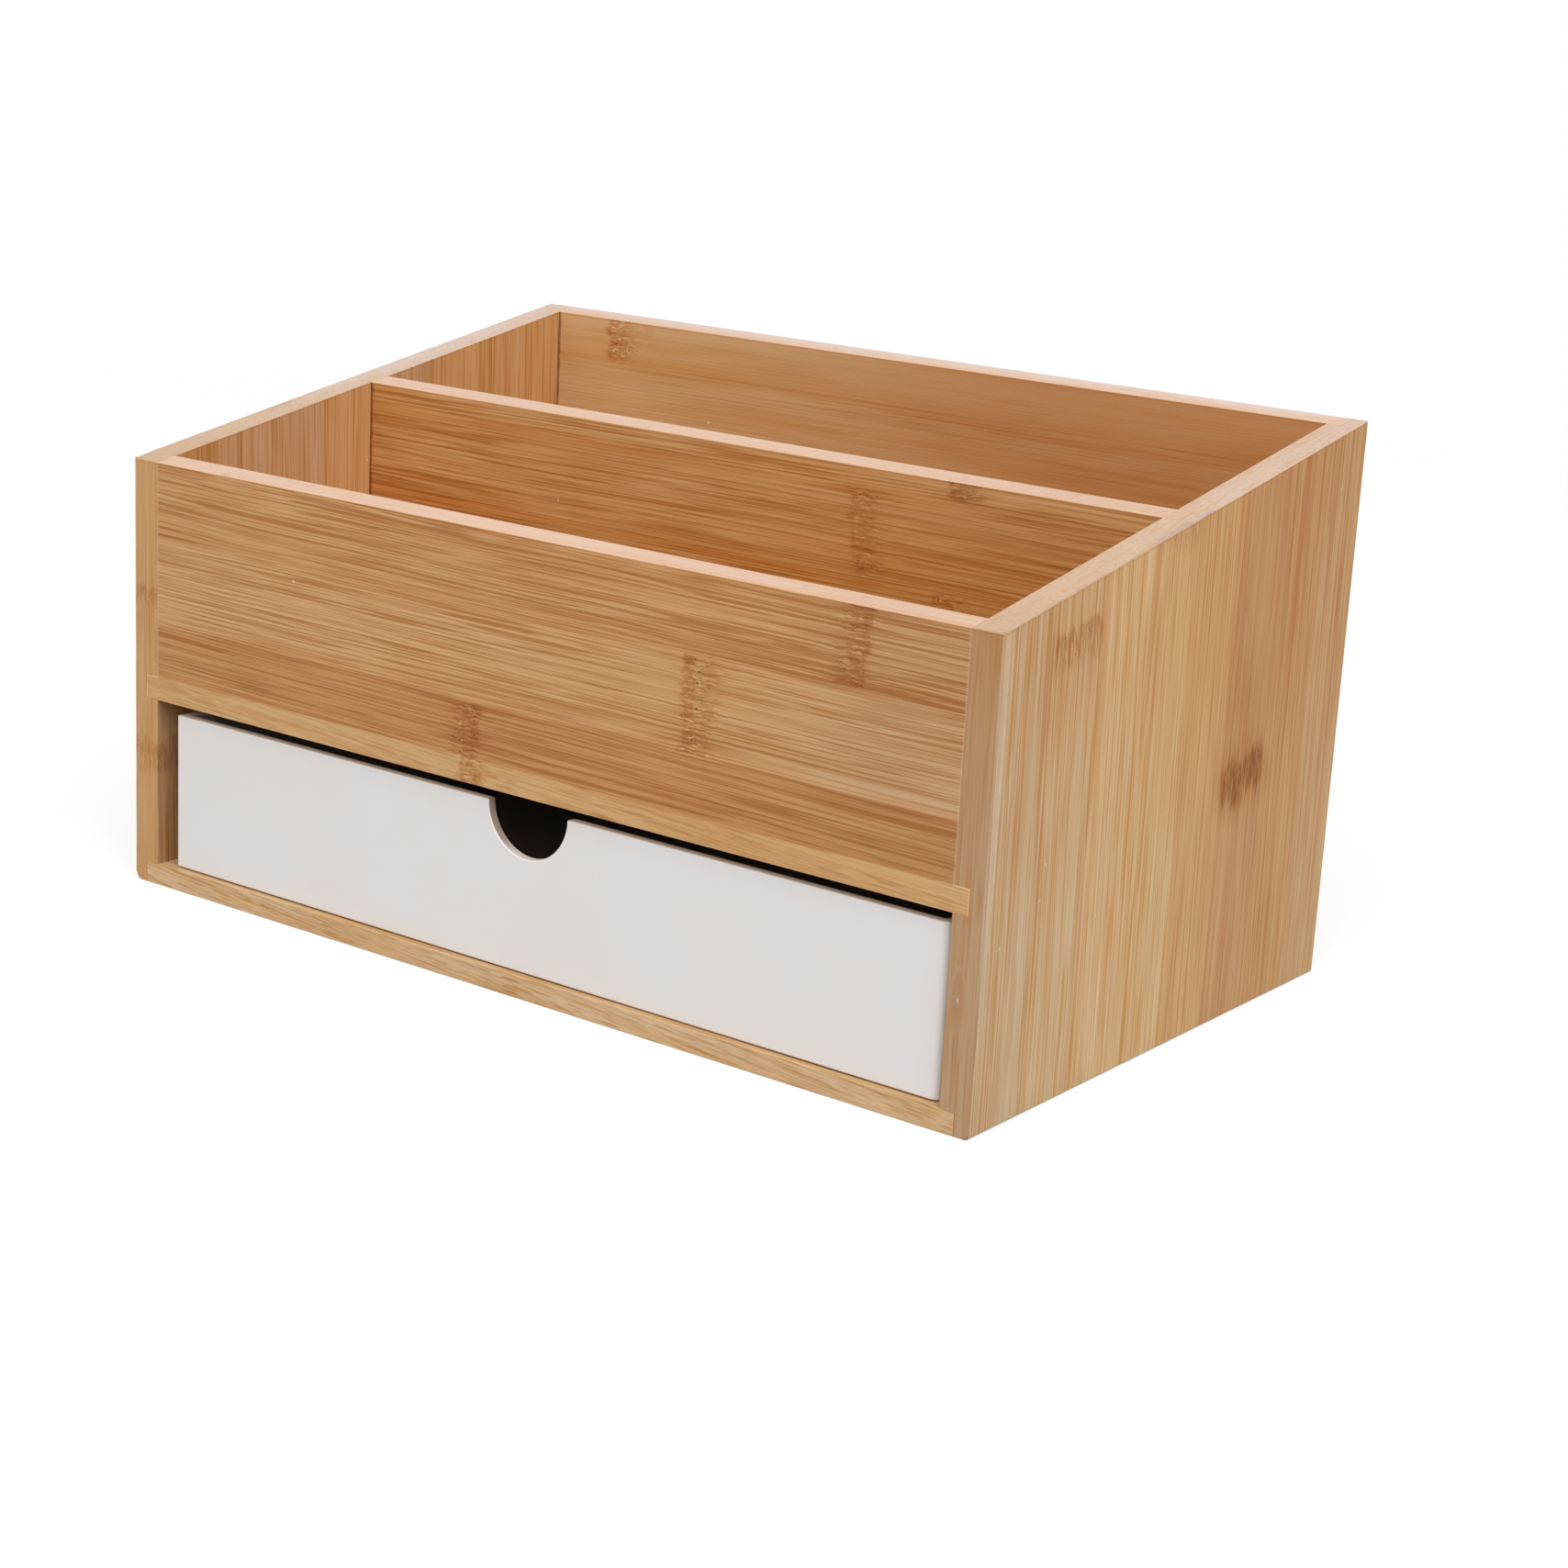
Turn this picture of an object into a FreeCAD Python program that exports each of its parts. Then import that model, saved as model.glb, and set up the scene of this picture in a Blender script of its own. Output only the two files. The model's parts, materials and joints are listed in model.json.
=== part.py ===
import FreeCAD, Part
import os
import re
import Sketcher

# Desk organizer: a bamboo carcass with two open compartments above one drawer.
#
# Frame: origin at the middle of the base, +Z up, +X to the right of someone who
# faces the drawer, the front of the carcass towards -Y. Lengths are millimetres.
# Each board is drawn in a frame of its own: X = 0 at the middle of its width, or at
# the inner face of a carcass side, Y = 0 in the front plane and Z = 0 on the table.

# Driving dimensions. Each one can be changed by itself.
SIZES = {
    # carcass
    "overall_width": 256.0,
    "overall_depth": 155.0,
    "front_height": 108.7,
    "back_height": 138.0,
    "side_thickness": 8.0,
    "front_thickness": 6.0,
    "divider_thickness": 6.0,
    "back_thickness": 5.8,
    "shelf_thickness": 6.0,
    "bottom_thickness": 5.5,
    "drawer_bay_height": 43.0,
    "front_compartment_depth": 68.3,
    "housing_depth": 4.0,
    "glue_gap": 0.1,
    "corner_radius": 1.5,
    "foot_radius": 2.5,
    # dowels in the ends of the front panel
    "dowel_radius": 1.5,
    "dowel_side_depth": 5.0,
    "dowel_panel_depth": 9.0,
    "dowel_edge_distance": 12.0,
    "dowel_play": 0.05,
    # drawer
    "drawer_board_thickness": 2.5,
    "drawer_recess": 1.7,
    "drawer_left_gap": 5.5,
    "drawer_right_gap": 1.4,
    "drawer_top_gap": 3.1,
    "running_gap": 0.3,
    "stop_gap": 0.3,
    "notch_radius": 12.0,
}

TOLERANCE = 1e-6

# Values that follow from the driving dimensions.
INNER_WIDTH = "(overall_width - 2 * side_thickness)"
HOUSED_WIDTH = f"({INNER_WIDTH} + 2 * housing_depth)"
GROOVE_DEPTH = "(housing_depth + glue_gap)"
SHELF_UNDERSIDE = "(bottom_thickness + drawer_bay_height)"
SHELF_TOP = f"({SHELF_UNDERSIDE} + shelf_thickness)"
DIVIDER_FRONT = "(front_thickness + front_compartment_depth)"
DIVIDER_BACK = f"({DIVIDER_FRONT} + divider_thickness)"
BACK_FRONT = "(overall_depth - back_thickness)"
DOWEL_LOW = f"({SHELF_TOP} + dowel_edge_distance)"
DOWEL_HIGH = "(front_height - dowel_edge_distance)"
DRAWER_WIDTH = f"({INNER_WIDTH} - drawer_left_gap - drawer_right_gap)"
DRAWER_CENTRE = "((drawer_left_gap - drawer_right_gap) / 2)"
DRAWER_BOTTOM = "(bottom_thickness + running_gap)"
DRAWER_TOP = f"({SHELF_UNDERSIDE} - drawer_top_gap)"
DRAWER_FLOOR = f"({DRAWER_BOTTOM} + drawer_board_thickness)"
WALL_FRONT = "(drawer_recess + drawer_board_thickness)"
DRAWER_REAR = f"({BACK_FRONT} - stop_gap)"


def top_at(depth):
    """Height of the sloped rim at a depth behind the front plane."""
    return f"(front_height + (back_height - front_height) * {depth} / overall_depth)"


doc = FreeCAD.newDocument("DeskOrganizer")
sheet = doc.addObject("Spreadsheet::Sheet", "Sizes")
for row, (alias, value) in enumerate(SIZES.items(), start=1):
    sheet.set(f"A{row}", alias)
    sheet.set(f"B{row}", str(value))
    sheet.setAlias(f"B{row}", alias)
doc.recompute()


def in_sheet(expression):
    """The expression with each size's name written as a cell of the sheet."""
    return re.sub(r"[a-z_]+", lambda name: f"Sizes.{name.group()}", expression)


def value_of(expression):
    """The number that an expression gives with the sizes as they are now."""
    return float(sheet.evalExpression(in_sheet(expression)))


def bind(item, prop, expression):
    item.setExpression(prop, in_sheet(expression))


# ---------------------------------------------------------------- construction helpers

def new_body(label, x="0"):
    """An empty board whose own frame is placed at X = x in the front plane."""
    body = doc.addObject("PartDesign::Body", label)
    body.Label = label
    bind(body, "Placement.Base.x", x)
    bind(body, "Placement.Base.y", "-overall_depth / 2")
    return body


def new_sketch(body, name, plane, offset=None):
    """A sketch on one of the body's own origin planes, or parallel to it."""
    sketch = body.newObject("Sketcher::SketchObject", f"{body.Label}_{name}")
    plane_object = next(item for item in body.Origin.OriginFeatures if item.Role == plane)
    sketch.AttachmentSupport = [(plane_object, "")]
    sketch.MapMode = "FlatFace"
    if offset:
        bind(sketch, "AttachmentOffset.Base.z", offset)
    doc.recompute()
    return sketch


def place_point(sketch, geometry, end, point):
    """Dimension one point of the sketch from the sketch's origin."""
    for expression, kind, axis in zip(point, ("DistanceX", "DistanceY"), (-2, -1)):
        if expression == "0":
            sketch.addConstraint(Sketcher.Constraint("PointOnObject", geometry, end, axis))
            continue
        distance = value_of(expression)
        index = sketch.addConstraint(Sketcher.Constraint(kind, -1, 1, geometry, end, distance))
        bind(sketch, f"Constraints[{index}]", expression)


def draw_outline(sketch, points):
    """A closed outline of straight lines through the points."""
    vectors = [FreeCAD.Vector(value_of(x), value_of(y), 0) for x, y in points]
    lines = []
    for start, end in zip(vectors, vectors[1:] + vectors[:1]):
        lines.append(sketch.addGeometry(Part.LineSegment(start, end), False))
    for line, following in zip(lines, lines[1:] + lines[:1]):
        sketch.addConstraint(Sketcher.Constraint("Coincident", line, 2, following, 1))
    for line, point in zip(lines, points):
        place_point(sketch, line, 1, point)


def draw_rectangle(sketch, left, bottom, right, top):
    draw_outline(sketch, [(left, bottom), (right, bottom), (right, top), (left, top)])


def draw_circle(sketch, centre, radius):
    middle = FreeCAD.Vector(value_of(centre[0]), value_of(centre[1]), 0)
    circle = Part.Circle(middle, FreeCAD.Vector(0, 0, 1), value_of(radius))
    index = sketch.addGeometry(circle, False)
    place_point(sketch, index, 3, centre)
    size = sketch.addConstraint(Sketcher.Constraint("Radius", index, value_of(radius)))
    bind(sketch, f"Constraints[{size}]", radius)


def pad(body, sketch, length, side="One side", backwards=False):
    feature = body.newObject("PartDesign::Pad", f"{sketch.Label}_pad")
    feature.Profile = sketch
    bind(feature, "Length", length)
    feature.SideType = side
    feature.Reversed = backwards
    doc.recompute()
    return feature


def pocket(body, sketch, length, side="One side", backwards=False):
    """Cut the sketch into the body, and make sure that it took material away."""
    before = body.Shape.Volume
    feature = body.newObject("PartDesign::Pocket", f"{sketch.Label}_pocket")
    feature.Profile = sketch
    bind(feature, "Length", length)
    feature.SideType = side
    feature.Reversed = backwards
    doc.recompute()
    if body.Shape.Volume >= before:
        raise RuntimeError(f"{feature.Label} cut nothing")
    return feature


def upright_edges_at(shape, x):
    """Names of the upright edges of a shape that lie in one plane across X."""
    names = []
    for number, edge in enumerate(shape.Edges, start=1):
        box = edge.BoundBox
        upright = box.XLength < TOLERANCE and box.YLength < TOLERANCE
        if upright and abs(box.XMin - x) < TOLERANCE:
            names.append(f"Edge{number}")
    return names


# ---------------------------------------------------------------- carcass

def side_panel(label, outward):
    """A side of the carcass. X = 0 is its inner face; outward is +1 or -1 along X."""
    body = new_body(label, f"{outward} * {INNER_WIDTH} / 2")
    pad_backwards = outward < 0
    cut_backwards = outward > 0

    outline = new_sketch(body, "outline", "YZ_Plane")
    draw_outline(outline, [("0", "0"), ("overall_depth", "0"),
                           ("overall_depth", "back_height"), ("0", "front_height")])
    board = pad(body, outline, "side_thickness", backwards=pad_backwards)

    rounding = body.newObject("PartDesign::Fillet", f"{label}_corners")
    outer_face = outward * value_of("side_thickness")
    rounding.Base = (board, upright_edges_at(board.Shape, outer_face))
    bind(rounding, "Radius", "corner_radius")
    doc.recompute()

    foot = new_sketch(body, "foot", "XZ_Plane")
    draw_foot_rounding(foot, outward)
    pocket(body, foot, "2 * overall_depth", side="Symmetric")

    housings = {
        "bottom_housing": ("0", "0", BACK_FRONT, "bottom_thickness"),
        "shelf_housing": ("0", SHELF_UNDERSIDE, BACK_FRONT, SHELF_TOP),
        "divider_housing": (DIVIDER_FRONT, SHELF_TOP, DIVIDER_BACK, "back_height"),
        "back_housing": (BACK_FRONT, "0", "overall_depth", "back_height"),
    }
    for name, (front, low, back, high) in housings.items():
        groove = new_sketch(body, name, "YZ_Plane")
        draw_rectangle(groove, front, low, back, high)
        pocket(body, groove, GROOVE_DEPTH, backwards=cut_backwards)

    holes = new_sketch(body, "dowel_holes", "YZ_Plane")
    for level in (DOWEL_LOW, DOWEL_HIGH):
        draw_circle(holes, ("front_thickness / 2", level), "dowel_radius + dowel_play")
    pocket(body, holes, "dowel_side_depth + glue_gap", backwards=cut_backwards)
    return body


def draw_foot_rounding(sketch, outward):
    """The corner that is rounded off where the outer face meets the table."""
    face = f"{outward} * side_thickness"
    inset = f"{outward} * (side_thickness - foot_radius)"
    corner = FreeCAD.Vector(value_of(face), 0, 0)
    on_table = FreeCAD.Vector(value_of(inset), 0, 0)
    on_face = FreeCAD.Vector(value_of(face), value_of("foot_radius"), 0)
    middle = FreeCAD.Vector(on_table.x, on_face.y, 0)
    on_arc = middle + (corner - middle).normalize() * value_of("foot_radius")

    flat = sketch.addGeometry(Part.LineSegment(on_table, corner), False)
    upright = sketch.addGeometry(Part.LineSegment(corner, on_face), False)
    curve = sketch.addGeometry(Part.Arc(on_face, on_arc, on_table), False)
    # An arc runs anticlockwise, so which of its ends is on the face depends on the side.
    arc_at_face, arc_at_table = (2, 1) if outward > 0 else (1, 2)
    sketch.addConstraint(Sketcher.Constraint("Coincident", flat, 2, upright, 1))
    sketch.addConstraint(Sketcher.Constraint("Coincident", upright, 2, curve, arc_at_face))
    sketch.addConstraint(Sketcher.Constraint("Coincident", curve, arc_at_table, flat, 1))
    place_point(sketch, upright, 1, (face, "0"))
    place_point(sketch, flat, 1, (inset, "0"))
    place_point(sketch, upright, 2, (face, "foot_radius"))
    radius = value_of("foot_radius")
    size = sketch.addConstraint(Sketcher.Constraint("Radius", curve, radius))
    bind(sketch, f"Constraints[{size}]", "foot_radius")


def cross_board(label, outline_points, width, x="0"):
    """A board with one section in the YZ plane all along X, its middle at X = x."""
    body = new_body(label, x)
    outline = new_sketch(body, "outline", "YZ_Plane")
    draw_outline(outline, outline_points)
    pad(body, outline, width, side="Symmetric")
    return body


def sloped_section(front, back, low):
    """The section of an upright board whose top edge follows the sloped rim."""
    return [(front, low), (back, low), (back, top_at(back)), (front, top_at(front))]


def level_section(front, back, low, high):
    return [(front, low), (back, low), (back, high), (front, high)]


def front_panel():
    """The board above the drawer, butted between the sides and held by dowels."""
    section = sloped_section("0", "front_thickness", SHELF_TOP)
    body = cross_board("front_panel", section, INNER_WIDTH)
    holes = new_sketch(body, "dowel_holes", "YZ_Plane", offset=f"{INNER_WIDTH} / 2")
    for level in (DOWEL_LOW, DOWEL_HIGH):
        draw_circle(holes, ("front_thickness / 2", level), "dowel_radius + dowel_play")
    right_holes = pocket(body, holes, "dowel_panel_depth + glue_gap")

    middle_plane = next(item for item in body.Origin.OriginFeatures if item.Role == "YZ_Plane")
    left_holes = body.newObject("PartDesign::Mirrored", "front_panel_left_holes")
    left_holes.Originals = [right_holes]
    left_holes.MirrorPlane = (middle_plane, [""])
    body.Tip = left_holes
    doc.recompute()
    return body


def front_panel_dowels():
    """Four dowels across the joints between the front panel and the sides."""
    sticks = []
    for side, name in ((1, "right"), (-1, "left")):
        for level, place in ((DOWEL_LOW, "low"), (DOWEL_HIGH, "high")):
            stick = doc.addObject("Part::Cylinder", f"dowel_{name}_{place}")
            bind(stick, "Radius", "dowel_radius")
            bind(stick, "Height", "dowel_side_depth + dowel_panel_depth")
            reach = "dowel_side_depth" if side < 0 else "dowel_panel_depth"
            bind(stick, "Placement.Base.x", f"{side} * {INNER_WIDTH} / 2 - {reach}")
            bind(stick, "Placement.Base.y", "front_thickness / 2 - overall_depth / 2")
            bind(stick, "Placement.Base.z", level)
            stick.Placement.Rotation = FreeCAD.Rotation(FreeCAD.Vector(0, 1, 0), 90)
            sticks.append(stick)
    group = doc.addObject("Part::Compound", "front_panel_dowels")
    group.Label = "front_panel_dowels"
    group.Links = sticks
    doc.recompute()
    return group


def carcass():
    divider_section = sloped_section(DIVIDER_FRONT, DIVIDER_BACK, SHELF_TOP)
    back_section = sloped_section(BACK_FRONT, "overall_depth", "0")
    shelf_section = level_section("0", BACK_FRONT, SHELF_UNDERSIDE, SHELF_TOP)
    bottom_section = level_section("0", BACK_FRONT, "0", "bottom_thickness")
    return [
        side_panel("left_side_panel", -1),
        side_panel("right_side_panel", 1),
        front_panel(),
        front_panel_dowels(),
        cross_board("divider_panel", divider_section, HOUSED_WIDTH),
        cross_board("back_panel", back_section, HOUSED_WIDTH),
        cross_board("shelf_panel", shelf_section, HOUSED_WIDTH),
        cross_board("bottom_panel", bottom_section, HOUSED_WIDTH),
    ]


# ---------------------------------------------------------------- drawer

def drawer_front():
    """The front of the drawer, with a half-round finger notch in its top edge."""
    section = level_section("drawer_recess", WALL_FRONT, DRAWER_BOTTOM, DRAWER_TOP)
    body = cross_board("drawer_front", section, DRAWER_WIDTH, DRAWER_CENTRE)
    notch = new_sketch(body, "notch", "XZ_Plane")
    draw_circle(notch, ("0", DRAWER_TOP), "notch_radius")
    pocket(body, notch, f"2 * {WALL_FRONT}", side="Symmetric")
    return body


def drawer_side(label, outward):
    """A side of the drawer, which stands on the drawer's bottom board."""
    centre = f"{DRAWER_CENTRE} + {outward} * ({DRAWER_WIDTH} - drawer_board_thickness) / 2"
    section = level_section(WALL_FRONT, DRAWER_REAR, DRAWER_FLOOR, DRAWER_TOP)
    return cross_board(label, section, "drawer_board_thickness", centre)


def drawer():
    back_front = f"({DRAWER_REAR} - drawer_board_thickness)"
    back_section = level_section(back_front, DRAWER_REAR, DRAWER_FLOOR, DRAWER_TOP)
    bottom_section = level_section(WALL_FRONT, DRAWER_REAR, DRAWER_BOTTOM, DRAWER_FLOOR)
    back_width = f"{DRAWER_WIDTH} - 2 * drawer_board_thickness"
    return [
        drawer_front(),
        drawer_side("drawer_left_side", -1),
        drawer_side("drawer_right_side", 1),
        cross_board("drawer_back", back_section, back_width, DRAWER_CENTRE),
        cross_board("drawer_bottom", bottom_section, DRAWER_WIDTH, DRAWER_CENTRE),
    ]


# ---------------------------------------------------------------- check and write

pieces = carcass() + drawer()
doc.recompute()

for item in doc.Objects:
    if "Invalid" in item.State or "Error" in item.State:
        raise RuntimeError(f"{item.Label} did not compute: {item.State}")
for piece in pieces:
    if piece.Shape.isNull() or not piece.Shape.isValid():
        raise RuntimeError(f"{piece.Label} has no valid shape")

os.makedirs("parts", exist_ok=True)
for piece in pieces:
    piece.Shape.exportStep(f"parts/{piece.Label}.step")
    box = piece.Shape.BoundBox
    size = f"{box.XLength:.2f} x {box.YLength:.2f} x {box.ZLength:.2f}"
    print(f"{piece.Label}: {len(piece.Shape.Solids)} solid, {size} mm, {piece.Shape.Volume:.1f} mm3")
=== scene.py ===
"""Looks of the desk organizer: a bamboo box with two open compartments over a white lacquered drawer.

Every board starts from its own CAD solid. Its edges are eased, and it gets a bamboo finish whose glued
strips, fibres and culm nodes are placed in millimetres. The drawer's boards get a satin lacquer.
"""

import json
import math

import bmesh
import bpy
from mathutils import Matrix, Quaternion, Vector
from mathutils.bvhtree import BVHTree


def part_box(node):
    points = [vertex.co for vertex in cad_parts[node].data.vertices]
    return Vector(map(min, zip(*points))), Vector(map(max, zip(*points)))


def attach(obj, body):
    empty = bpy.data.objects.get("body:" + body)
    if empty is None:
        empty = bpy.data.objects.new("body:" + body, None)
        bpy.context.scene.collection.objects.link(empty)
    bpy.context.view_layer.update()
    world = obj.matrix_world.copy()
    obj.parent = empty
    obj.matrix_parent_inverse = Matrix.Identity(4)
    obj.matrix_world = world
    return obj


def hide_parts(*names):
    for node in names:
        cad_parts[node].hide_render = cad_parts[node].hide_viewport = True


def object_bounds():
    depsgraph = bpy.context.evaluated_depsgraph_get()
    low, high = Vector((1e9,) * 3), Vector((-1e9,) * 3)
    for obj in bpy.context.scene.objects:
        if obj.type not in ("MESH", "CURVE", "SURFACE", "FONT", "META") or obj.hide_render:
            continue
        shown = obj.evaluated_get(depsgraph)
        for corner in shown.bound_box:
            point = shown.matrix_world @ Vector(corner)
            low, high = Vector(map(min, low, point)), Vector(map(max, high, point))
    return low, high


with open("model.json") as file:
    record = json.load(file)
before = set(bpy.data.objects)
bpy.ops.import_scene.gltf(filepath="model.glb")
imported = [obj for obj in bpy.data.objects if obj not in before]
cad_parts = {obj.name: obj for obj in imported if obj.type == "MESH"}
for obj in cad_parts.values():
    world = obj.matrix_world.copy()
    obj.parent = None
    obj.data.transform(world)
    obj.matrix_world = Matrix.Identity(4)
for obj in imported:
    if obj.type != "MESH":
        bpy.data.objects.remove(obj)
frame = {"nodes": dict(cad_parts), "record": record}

MM = 0.001
CAD_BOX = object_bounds()

# ------------------------------------------------------------------ sizes of the handwork, in metres

# How far the boards' corners are eased, and the rounder ones of the sides' feet and the drawer's front.
RIM_EASE = 0.20 * MM
JOINT_EASE = 0.04 * MM
UPRIGHT_EASE = 0.55 * MM
LEFT_FRONT_EASE = 0.50 * MM
RIGHT_FRONT_EASE = 0.90 * MM
DRAWER_EASE = 0.30 * MM
DRAWER_FOOT_EASE = 0.50 * MM
WIDEST_EASE = 1.00 * MM
FOOT_ROUNDS = {"left_side_panel": 2.0 * MM, "right_side_panel": 1.2 * MM}
DRAWER_RIGHT_ROUND = 2.4 * MM

# The fillets that the CAD gives the sides' outer corners.
CAD_FOOT_FILLET = 2.5 * MM
CAD_UPRIGHT_FILLET = 1.5 * MM

# How near two things are that count as touching, as on one corner, and as one point.
TOUCHING = 0.25 * MM
ON_CORNER = 0.01 * MM
WELD = 0.001 * MM

EASE_STEPS = 4
ROUND_STEPS = 10
SHARP_ANGLE = math.radians(30)
FLAT_ANGLE = math.radians(0.5)

# ------------------------------------------------------------------ camera and light

# Where the camera looks and how far off it stands, in metres, its angles in degrees and its lens in mm.
CAMERA_AIM = (0.0172, 0.0027, 0.0399)
CAMERA_DISTANCE = 0.7519
CAMERA_AZIMUTH = 35.976
CAMERA_ELEVATION = 15.233
CAMERA_ROLL = 3.133
CAMERA_LENS = 69.95
CAMERA_SENSOR = 36

WORLD_LIGHT = 0.34
FLOOR_HALF_SIZE = 12.0
FLOOR_GLOW = 0.75
# Squares of the distances, in mm, between which the floor fades to plain white.
FLOOR_FADE = (0.3e6, 1.4e6)
WHITE = (1, 1, 1, 1)
BLACK = (0, 0, 0, 1)
FLOOR_GREY = (0.5, 0.5, 0.5, 1)
FLOOR_GREY_SEEN = (0.25, 0.25, 0.25, 1)


def direction(azimuth, elevation):
    """The unit vector from the object towards these angles, in degrees, from the front and from level."""
    a = math.radians(azimuth)
    e = math.radians(elevation)
    return Vector((math.sin(a) * math.cos(e), -math.cos(a) * math.cos(e), math.sin(e)))


def add_camera():
    """The camera of the finished picture."""
    back = direction(CAMERA_AZIMUTH, CAMERA_ELEVATION)
    camera = bpy.data.objects.new("camera", bpy.data.cameras.new("camera"))
    camera.data.lens = CAMERA_LENS
    camera.data.sensor_width = CAMERA_SENSOR
    camera.location = Vector(CAMERA_AIM) + back * CAMERA_DISTANCE
    camera.rotation_mode = "QUATERNION"
    roll = Quaternion((0, 0, 1), math.radians(CAMERA_ROLL))
    camera.rotation_quaternion = (-back).to_track_quat("-Z", "Y") @ roll
    bpy.context.scene.collection.objects.link(camera)
    bpy.context.scene.camera = camera


def add_softbox(name, azimuth, elevation, distance, size, watts):
    """A square soft lamp that looks at the middle of the object."""
    lamp = bpy.data.objects.new(name, bpy.data.lights.new(name, "AREA"))
    lamp.data.shape = "SQUARE"
    lamp.data.size = size
    lamp.data.energy = watts
    towards = direction(azimuth, elevation)
    middle = (CAD_BOX[0] + CAD_BOX[1]) / 2
    lamp.location = middle + towards * distance
    lamp.rotation_mode = "QUATERNION"
    lamp.rotation_quaternion = (-towards).to_track_quat("-Z", "Y")
    bpy.context.scene.collection.objects.link(lamp)


# ------------------------------------------------------------------ the shader kit

# Some sockets of these nodes share a name, so they go by their number.
MIX_NUMBERS = (2, 3)
MIX_COLOURS = (6, 7)
MIX_COLOUR_OUT = 2
SCALE_VECTOR = 0
SCALE_BY = 3

# How far the finest relief of a finish stands out, in metres.
RELIEF = 0.05 * MM


class Amount:
    """A number that varies over a surface. Python's operators on it add Math nodes."""

    def __init__(self, finish, socket):
        self.finish = finish
        self.socket = socket

    def __add__(self, other):
        return self.finish.maths("ADD", self, other)

    def __radd__(self, other):
        return self.finish.maths("ADD", other, self)

    def __sub__(self, other):
        return self.finish.maths("SUBTRACT", self, other)

    def __rsub__(self, other):
        return self.finish.maths("SUBTRACT", other, self)

    def __mul__(self, other):
        return self.finish.maths("MULTIPLY", self, other)

    def __rmul__(self, other):
        return self.finish.maths("MULTIPLY", other, self)

    def __truediv__(self, other):
        return self.finish.maths("DIVIDE", self, other)

    def __gt__(self, other):
        return self.finish.maths("GREATER_THAN", self, other)

    def __lt__(self, other):
        return self.finish.maths("LESS_THAN", self, other)

    def __abs__(self):
        return self.finish.maths("ABSOLUTE", self)


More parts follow.
